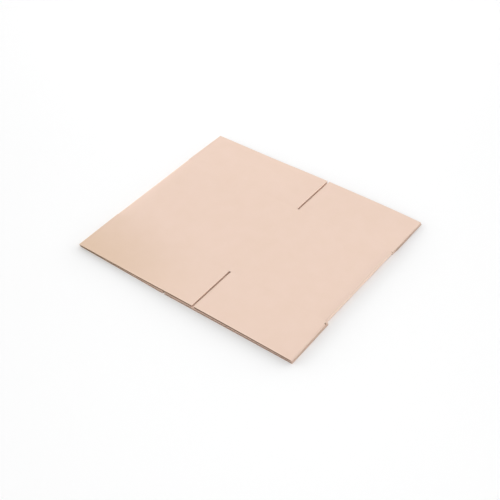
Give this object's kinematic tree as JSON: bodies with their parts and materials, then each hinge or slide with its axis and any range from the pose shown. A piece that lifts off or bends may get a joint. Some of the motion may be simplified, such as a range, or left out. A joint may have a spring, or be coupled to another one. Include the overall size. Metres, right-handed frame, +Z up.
{
  "type": "flattened cardboard box",
  "caption": "Slotted corrugated carton folded flat and glued, with rounded side folds, slotted flaps at front and back, open flutes at the cut edges and a seam underneath.",
  "frame": {"origin": "on the floor under the middle of the flat sheet", "axes": "+X across the folded panels towards the fold beside the upper short panel, +Y along the flutes from the front flaps to the back flaps, +Z up"},
  "size_m": [0.3568, 0.311, 0.0056],
  "materials": {
    "kraft_board": "matte uncoated pale kraft"
  },
  "bodies": {
    "root": {"flattened_box": "kraft_board"}
  },
  "joints": []
}
